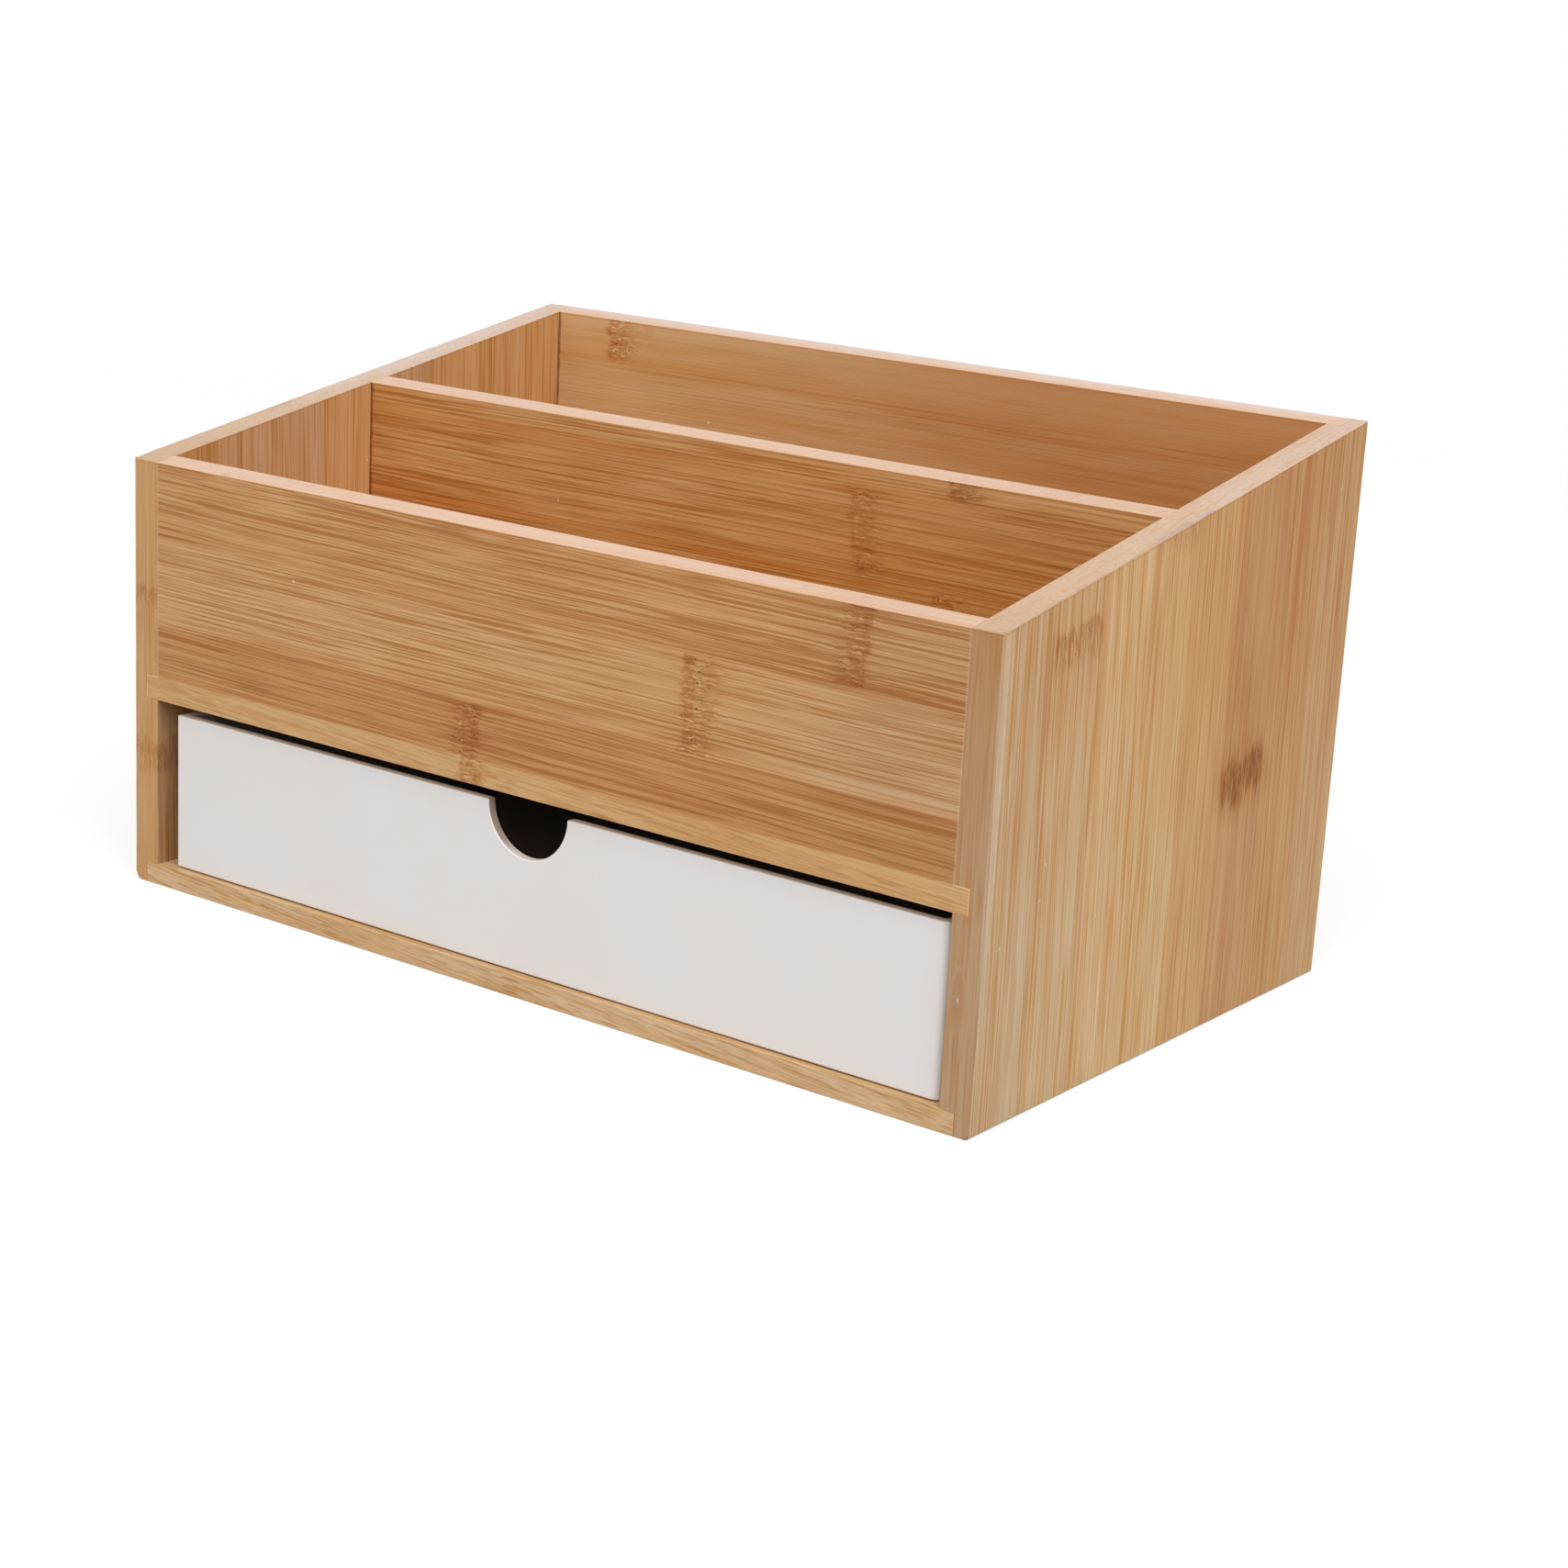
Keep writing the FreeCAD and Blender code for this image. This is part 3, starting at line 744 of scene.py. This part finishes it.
def bamboo(name, node, board):
    """The finish of one board. u runs along its grain, v across its strips and d through it, in mm."""
    f = Finish(bpy.data.materials.new(name))
    axes = dict(zip("xyz", f.parts_of(f.millimetres())))
    through = ({"x", "y", "z"} - {board.grain, board.across}).pop()
    u, v, d = axes[board.grain], axes[board.across], axes[through]
    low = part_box(node)[0] / MM
    colour, own, tilt, strong, seam, margin = strip_tones(f, board, v)
    if board.edge or board.slant:
        front = f.rise(axes["y"], low.y + 0.40, low.y + 0.12)
    if board.edge:
        strong = (1.0 - front * 0.5) * strong

    # culm nodes push the fibres aside, and so do eyes
    bent = v + u * tilt + (f.noise(f.point(u / 80, v / 30, own), 1.0) - 0.5) * 1.4
    if board.nodes:
        aslant = v + d
        ragged = (f.noise(f.point(u / 9, aslant / 1.1, own), 2.0) - 0.5) * 3.2
        ragged = ragged + (f.noise(f.point(u / 30, aslant / 5, own), 0.0) - 0.5) * 4.0
        marks = node_marks(f, board, u, v, ragged)
        push = node_push(f, board, u, aslant, own, marks)
        bent = bent + push
        if board.edge:
            d = d + push * front * 0.7
    run = u
    if board.slant:
        d = d + front * u * board.slant
        run = u * (front * (1 / board.stride - 1) + 1.0)
    colour, d = around_eyes(f, board, u, d, colour)

    crowd = f.noise(f.point(u / 50 + 4.7, bent / 6, own), 1.0)
    colour = broad_tones(f, board, u, v, d, bent, own, crowd, margin, colour)
    inside_face = f.rise(axes["y"], low.y + 1.0, low.y + 0.5) if node == "back_panel" else 1.0
    # a drift of tone along the grain; on the divider and the back panel's inner face it is painted shade and
    # light, darker towards the right side, which shades them
    if board.tone_and_shade_drift:
        start, end, tone = board.tone_and_shade_drift
        colour = f.shade(f.rise(u, start, end) * inside_face, colour, tone)

    colour, dark, grain = fibres(f, board, run, bent, d, own, crowd, strong, colour)
    roughness = 0.32 + dark * 0.10 + (grain - 0.5) * 0.12
    height = grain * 0.5 - dark * 0.5
    if board.nodes:
        surface = (colour, roughness, height)
        colour, roughness, height = node_wood(f, board, u, aslant, bent + d, own, marks, *surface)

    # glue lines, dust, joints with painted shadow in their gaps, and edges with wear, painted highlights and
    # a painted sheen on the rims
    colour = f.shade(f.clamped(seam * 0.35), colour, board.fibre)
    colour = dust_specks(f, board, u, v, d, colour)
    if board.edge:
        colour = f.shade(front, colour, board.edge)
    if node in SIDES:
        colour = side_wear(f, node, board, axes, own, grain, colour)
    if node in ("divider_panel", "back_panel"):
        colour = housing_gap_shadows(f, axes, own, inside_face, colour)
    if node in RIM_BOARDS:
        colour, roughness = rim_wood(f, node, axes, own, colour, roughness)
    if node in END_WEAR_AND_HIGHLIGHT:
        colour = worn_and_lit_ends(f, node, axes, colour)
    return f.principled(colour, f.clamped(roughness), height, strength=0.3, ior=1.5)


def even_strips(start, width, colours):
    """Strips of one width, from the first one's start."""
    return [Strip(start + width * i, colour) for i, colour in enumerate(colours)]


def side_strips(colours):
    """The strips of a side panel. Both sides are glued up alike, in tones of their own."""
    starts = (-80.0, -58.2, -38.7, -19.2, 0.2, 20.3, 39.5, 59.6)
    tilts = (0.015, 0.020, 0.030, 0.012, 0.020, 0.010, 0.020, 0.012)
    return [Strip(*each) for each in zip(starts, colours, tilts)]


BOARDS = {
    "front_panel": Board(
        grain="x",
        across="z",
        strips=[
            Strip(40.0, CLAY, tilt=0.015, contrast=1.2),
            Strip(67.8, HONEY, tilt=0.008, contrast=1.15),
            Strip(90.7, UMBER, tilt=0.013, contrast=1.5),
        ],
        nodes=(
            Node(95.0, 90.7, 113.0, lean=0.05),
            Node(47.0, 67.8, 90.7, behind=1, depth=9.0, lean=0.02),
            Node(-11.5, 45.0, 67.8, depth=8.5, lean=0.03),
        ),
        seed=3.0,
        contrast=0.86,
        streak=0.2,
        tone_and_shade_drift=(50.0, 105.0, (0.92, 0.94, 1.05, 1)),
    ),
    "divider_panel": Board(
        grain="x",
        across="z",
        strips=[
            Strip(53.8, RUST),
            Strip(75.3, RUST),
            Strip(96.5, RUST, tilt=0.004),
            Strip(118.2, RUST_TOP),
        ],
        nodes=(
            Node(37.0, 96.5, 118.2, behind=1, lean=-0.15, strength=0.8),
            Node(64.0, 118.2, 130.0, behind=1, depth=9.0, stain=0.4),
            Node(62.0, 75.3, 96.5, behind=1, depth=9.0, strength=0.9),
        ),
        seed=17.0,
        contrast=0.95,
        # painted shade: darker towards the right end, where the right side shades the divider
        tone_and_shade_drift=(50.0, 90.0, (0.93, 0.92, 0.92, 1)),
    ),
    "back_panel": Board(
        grain="x",
        across="z",
        strips=even_strips(-8.8, 22.3, (RUST, CLAY, RUST, CLAY, RUST, COPPER))
        + [Strip(125.0, COPPER, contrast=0.4)],
        nodes=(
            Node(-101.0, 125.0, 140.0, behind=1, depth=9.0, lean=-0.1),
            Node(38.0, 80.4, 102.7, lean=0.1),
            Node(-30.0, 35.8, 58.1, behind=1),
        ),
        seed=41.0,
        contrast=0.42,
        # painted light on the inner face only: lighter towards the left end, away from the right side's
        # shade
        tone_and_shade_drift=(50.0, -100.0, (1.21, 1.55, 1.88, 1)),
    ),
    "shelf_panel": Board(
        grain="x",
        across="y",
        strips=even_strips(-79.5, 21.5, (WHEAT, HONEY, AMBER, CLAY, WHEAT, HONEY, AMBER)),
        nodes=(Node(-17.0, -80.0, -58.0, behind=1, lean=0.1), Node(44.0, -36.5, -15.0)),
        seed=59.0,
        contrast=0.5,
        slant=0.05,
        stride=0.32,
    ),
    "bottom_panel": Board(
        grain="x",
        across="y",
        strips=even_strips(-81.5, 21.5, (BISCUIT, HONEY, WHEAT, AMBER, CLAY, HONEY, WHEAT)),
        nodes=(Node(60.0, -60.0, -38.5, behind=1),),
        seed=73.0,
        contrast=0.7,
        slant=0.07,
        stride=0.25,
    ),
    "left_side_panel": Board(
        grain="z",
        across="y",
        strips=side_strips((AMBER, FAWN, FAWN, BLOND, FAWN, BLOND, BLOND, BLOND)),
        nodes=(
            Node(37.5, -80.0, -58.2, strength=0.8),
            Node(76.5, -80.0, -58.2, depth=5.0, strength=0.6),
            Node(58.0, 0.2, 20.3),
            Node(96.0, 59.6, 80.0, behind=1, strength=0.8),
        ),
        seed=89.0,
        contrast=0.6,
        edge=(0.95, 0.94, 0.86, 1),
    ),
    "right_side_panel": Board(
        grain="z",
        across="y",
        strips=side_strips(SIDE_TONES),
        nodes=(
            Node(106.0, -58.2, -38.7, lean=0.05, strength=0.9),
            Node(63.5, 20.3, 39.5, depth=9.5, lean=0.05, strength=0.6, stain=1.0),
            Node(124.5, -19.2, 0.2, lean=0.05, strength=0.5),
        ),
        seed=107.0,
        fibre=SOFT_FIBRE,
        tone_and_shade_drift=(105.0, 15.0, (1.05, 1.19, 1.52, 1)),
        edge=(0.73, 0.65, 0.60, 1),
        eyes=(Eye(30.0, 122.8, 5.0, 1.3),),
        dust=7.0,
    ),
    "front_panel_dowels": Board(grain="x", across="y", strips=[Strip(0.0, WHEAT)], seed=131.0),
}


# ------------------------------------------------------------------ white lacquer

# The finger notch's radius, and how far round it the sawn edge is looked for, in mm.
NOTCH_RADIUS = 12.0
NOTCH_REACH = NOTCH_RADIUS + 0.5
LACQUER = paint(227, 224, 222)
LACQUER_WARM = paint(228, 217, 206)
# painted warm shade: the drawer's top edges under the shelf, and the lower notch wall
WARM_SHADE_TONE = paint(220, 208, 198)
# the notch's bare wall, with painted shade under the shelf
BARE_CORE_IN_SHADE = paint(172, 153, 138)


def white_lacquer():
    """Satin paint, sprayed: faintly mottled, with a little orange peel."""
    f = Finish(bpy.data.materials.new("white_lacquer"))
    place = f.millimetres()
    cloud = f.noise(f.scaled(place, 1 / 26), 3.0)
    peel = f.noise(f.scaled(place, 0.9), 2.0)
    grit = f.noise(f.scaled(place, 4.0), 1.0)
    colour = f.mix(f.rise(cloud, 0.35, 0.7) * 0.25, LACQUER, LACQUER_WARM)

    # painted warm shade on the top edges under the shelf, whose wood tints them; the finger notch was cut
    # through the board, and its bare wall gets painted shade, darker towards the top
    x, y, z = f.parts_of(place)
    low, high = (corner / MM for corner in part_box("drawer_front"))
    middle = (low.x + high.x) / 2
    top = f.rise(z, high.z - 0.25, high.z - 0.10)
    near_notch = (abs(x - middle) < NOTCH_REACH) * (z > high.z - NOTCH_REACH)
    sawn = f.rise(f.smaller(y - low.y, high.y - y), 0.15, 0.45) * near_notch
    lower_half = f.rise(z, high.z - NOTCH_RADIUS * 0.7, high.z - NOTCH_RADIUS)
    core = f.mix(lower_half, BARE_CORE_IN_SHADE, WARM_SHADE_TONE)
    colour = f.mix(top, colour, WARM_SHADE_TONE)
    colour = f.mix(sawn, colour, core)
    roughness = 0.36 + (cloud - 0.5) * 0.12 + (grit - 0.5) * 0.06 + f.clamped(top + sawn) * 0.2
    height = peel * 0.8 + grit * 0.2
    return f.principled(colour, f.clamped(roughness), height, strength=0.35, ior=1.48)


# ------------------------------------------------------------------ boards with eased edges


def plain_faces(node):
    """A bmesh of a CAD node with its flat faces made whole again."""
    work = bmesh.new()
    work.from_mesh(frame["nodes"][node].data)
    bmesh.ops.remove_doubles(work, verts=work.verts, dist=WELD)
    bmesh.ops.dissolve_limit(work, angle_limit=FLAT_ANGLE, verts=work.verts, edges=work.edges)
    return work


def surfaces():
    """A search tree over each CAD node's faces."""
    trees = {}
    for name, thing in frame["nodes"].items():
        work = bmesh.new()
        work.from_mesh(thing.data)
        trees[name] = BVHTree.FromBMesh(work)
        work.free()
    return trees


def split_at(work, axis, place):
    """Adds edges where a plane square to an axis crosses the faces."""
    point = Vector((0, 0, 0))
    point[axis] = place
    square = Vector((0, 0, 0))
    square[axis] = 1
    everything = work.verts[:] + work.edges[:] + work.faces[:]
    bmesh.ops.bisect_plane(work, geom=everything, plane_co=point, plane_no=square, dist=WELD)


def squared_corners(work, node):
    """Takes the rounding off a side panel's outer corners, so that they can be rounded afresh."""
    low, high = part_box(node)
    outer = low.x if node == "left_side_panel" else high.x
    for point in work.verts:
        aside = abs(point.co.x - outer)
        if aside < CAD_FOOT_FILLET + TOUCHING and point.co.z < low.z + CAD_FOOT_FILLET + TOUCHING:
            point.co.x = outer
            point.co.z = low.z
        if aside > CAD_UPRIGHT_FILLET + TOUCHING:
            continue
        for edge in (low.y, high.y):
            if abs(point.co.y - edge) < CAD_UPRIGHT_FILLET + TOUCHING:
                on_rim = point.co.z > rim_front.z - TOUCHING
                height = rim_front.z + RIM_SLOPE * (edge - rim_front.y) if on_rim else point.co.z
                point.co = (outer, edge, height)
    bmesh.ops.remove_doubles(work, verts=work.verts, dist=WELD)
    bmesh.ops.dissolve_degenerate(work, edges=work.edges, dist=WELD)
    bmesh.ops.dissolve_limit(work, angle_limit=FLAT_ANGLE, verts=work.verts, edges=work.edges)


def rounded_corner(work, node):
    """Rolls off a side panel's foot along its outer face, or the drawer front's right end."""
    low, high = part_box(node)
    if node in SIDES:
        outer = low.x if node == "left_side_panel" else high.x
        corner = {0: outer, 2: low.z}
        radius = FOOT_ROUNDS[node]
    elif node == "drawer_front":
        corner = {0: high.x, 1: low.y}
        radius = DRAWER_RIGHT_ROUND
    else:
        return

    def lies_on_it(point):
        return all(abs(point.co[axis] - place) < ON_CORNER for axis, place in corner.items())

    on_corner = [edge for edge in work.edges if all(lies_on_it(point) for point in edge.verts)]
    bmesh.ops.bevel(
        work,
        geom=on_corner,
        offset=radius,
        offset_type="OFFSET",
        segments=ROUND_STEPS,
        profile=0.5,
        affect="EDGES",
        clamp_overlap=False,
    )


def ease_at(node, middle):
    """How far the corner at this point of a board is eased."""
    low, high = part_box(node)
    at_front = middle.y < low.y + TOUCHING
    at_back = middle.y > high.y - TOUCHING
    if node in SIDES:
        outer = low.x if node == "left_side_panel" else high.x
        if abs(middle.x - outer) > FOOT_ROUNDS[node] or not (at_front or at_back):
            return RIM_EASE
        front = LEFT_FRONT_EASE if node == "left_side_panel" else RIGHT_FRONT_EASE
        upright = front if at_front else UPRIGHT_EASE
        share = min(1.0, (middle.z - low.z) / FOOT_ROUNDS[node])
        return RIM_EASE + (upright - RIM_EASE) * share
    if node == "drawer_front" and at_front and middle.z < low.z + TOUCHING:
        return DRAWER_FOOT_EASE
    return RIM_EASE if node in END_WEAR_AND_HIGHLIGHT else DRAWER_EASE


def weigh_edges(work, node, trees):
    """Marks how far each outward corner is eased, and barely eases those where boards meet."""
    weight = work.edges.layers.float.new("bevel_weight_edge")
    others = [tree for name, tree in trees.items() if name != node and "dowels" not in name]
    for edge in work.edges:
        angle = edge.calc_face_angle_signed(0)
        edge.smooth = abs(angle) < SHARP_ANGLE
        if angle < SHARP_ANGLE:
            continue
        middle = (edge.verts[0].co + edge.verts[1].co) / 2
        near = min(tree.find_nearest(middle)[3] for tree in others)
        ease = ease_at(node, middle)
        joined = near < TOUCHING and ease < LEFT_FRONT_EASE
        edge[weight] = (JOINT_EASE if joined else ease) / WIDEST_EASE


def piece_from(name, work):
    """An object in the scene made from a bmesh, which is freed."""
    mesh = bpy.data.meshes.new(name)
    work.to_mesh(mesh)
    work.free()
    for face in mesh.polygons:
        face.use_smooth = True
    piece = bpy.data.objects.new(name, mesh)
    bpy.context.scene.collection.objects.link(piece)
    return piece


def apply_modifiers(piece):
    """Makes a piece's modifiers part of its mesh."""
    seen = piece.evaluated_get(bpy.context.evaluated_depsgraph_get())
    mesh = bpy.data.meshes.new_from_object(seen)
    piece.modifiers.clear()
    piece.data = mesh


def keep_inside(piece, node):
    """Holds a piece's points within the box of the CAD node that it stands for."""
    low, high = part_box(node)
    for point in piece.data.vertices:
        point.co = [min(max(at, least), most) for at, least, most in zip(point.co, low, high)]


def eased_board(node, body, material, splits, trees):
    """The board that stands for a CAD node: the same solid with its corners eased."""
    work = plain_faces(node)
    if node in SIDES:
        squared_corners(work, node)
    for axis, place in splits:
        split_at(work, axis, place)
    rounded_corner(work, node)
    weigh_edges(work, node, trees)
    piece = piece_from(node + "_board", work)
    bevel = piece.modifiers.new("eased", "BEVEL")
    bevel.width = WIDEST_EASE
    bevel.segments = EASE_STEPS
    bevel.limit_method = "WEIGHT"
    bevel.use_clamp_overlap = False
    flat = piece.modifiers.new("flat_faces", "WEIGHTED_NORMAL")
    flat.keep_sharp = True
    apply_modifiers(piece)
    keep_inside(piece, node)
    piece.data.materials.clear()
    piece.data.materials.append(material)
    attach(piece, body)
    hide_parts(node)


def carcass_boards(trees):
    """The wooden boards, with edges added where one board enters or meets another."""
    inner_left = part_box("left_side_panel")[1].x
    inner_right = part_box("right_side_panel")[0].x
    front_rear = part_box("front_panel")[1].y
    housed_ends = [(0, inner_left), (0, inner_right)]
    front_butt = [(1, front_rear)]
    splits = {
        "front_panel": [],
        "divider_panel": housed_ends,
        "back_panel": housed_ends,
        "shelf_panel": housed_ends,
        "bottom_panel": housed_ends,
        "left_side_panel": front_butt,
        "right_side_panel": front_butt,
    }
    for node, cuts in splits.items():
        material = bamboo("bamboo_" + node, node, BOARDS[node])
        eased_board(node, "carcass", material, cuts, trees)


def drawer_boards(trees):
    """The drawer's boards, all painted alike."""
    material = white_lacquer()
    for node in frame["record"]["behaviour"]["bodies"]["drawer"]:
        eased_board(node, "drawer", material, [], trees)


def dowels():
    """The dowels stay as the CAD has them and only get their finish."""
    material = bamboo("dowel_bamboo", "front_panel_dowels", BOARDS["front_panel_dowels"])
    thing = frame["nodes"]["front_panel_dowels"]
    thing.data.materials.clear()
    thing.data.materials.append(material)


# ------------------------------------------------------------------ studio


def seen_directly(f):
    """1 for rays that show something to the eye, straight or by a reflection or through glass."""
    straight = f.node("ShaderNodeLightPath")
    reflected = f.beside(straight, "Is Glossy Ray")
    through_glass = f.beside(straight, "Is Transmission Ray")
    return f.clamped(straight + reflected + through_glass)


def add_world():
    """Soft light from all sides, and plain white where it is seen."""
    world = bpy.data.worlds.new("studio")
    bpy.context.scene.world = world
    f = Finish(world)
    strength = WORLD_LIGHT + seen_directly(f) * (1.0 - WORLD_LIGHT)
    light = f.node("ShaderNodeBackground", None, {"Color": WHITE, "Strength": strength})
    f.node("ShaderNodeOutputWorld", None, {"Surface": light})


def floor_finish():
    """Pale paper that glows for the eye only, so that it looks white and still keeps a shadow."""
    f = Finish(bpy.data.materials.new("pale_floor"))
    seen = seen_directly(f)
    x, y, _ = f.parts_of(f.millimetres())
    far = f.rise(x * x + y * y, *FLOOR_FADE)
    glow = FLOOR_GLOW + far * (1.0 - FLOOR_GLOW)
    paper = f.mix(seen, FLOOR_GREY, f.mix(far, FLOOR_GREY_SEEN, BLACK))
    matt = f.node("ShaderNodeBsdfDiffuse", None, {"Color": paper, "Roughness": 0.6})
    light = f.node("ShaderNodeEmission", None, {"Color": WHITE, "Strength": seen * glow})
    both = f.node("ShaderNodeAddShader", None, {0: matt, 1: light})
    f.node("ShaderNodeOutputMaterial", None, {"Surface": both})
    return f.owner


def add_floor():
    """The plain floor under the object."""
    work = bmesh.new()
    bmesh.ops.create_grid(work, x_segments=8, y_segments=8, size=FLOOR_HALF_SIZE)
    floor = piece_from("floor", work)
    floor.location.z = CAD_BOX[0].z
    floor.data.materials.append(floor_finish())


def add_studio():
    bpy.context.scene.view_settings.view_transform = "Standard"
    add_world()
    add_floor()
    add_softbox("main_softbox", azimuth=45, elevation=48, distance=2.6, size=2.6, watts=76)
    add_softbox("fill_softbox", azimuth=-30, elevation=35, distance=2.6, size=1.6, watts=11.5)


add_camera()
add_studio()
search_trees = surfaces()
carcass_boards(search_trees)
drawer_boards(search_trees)
dowels()
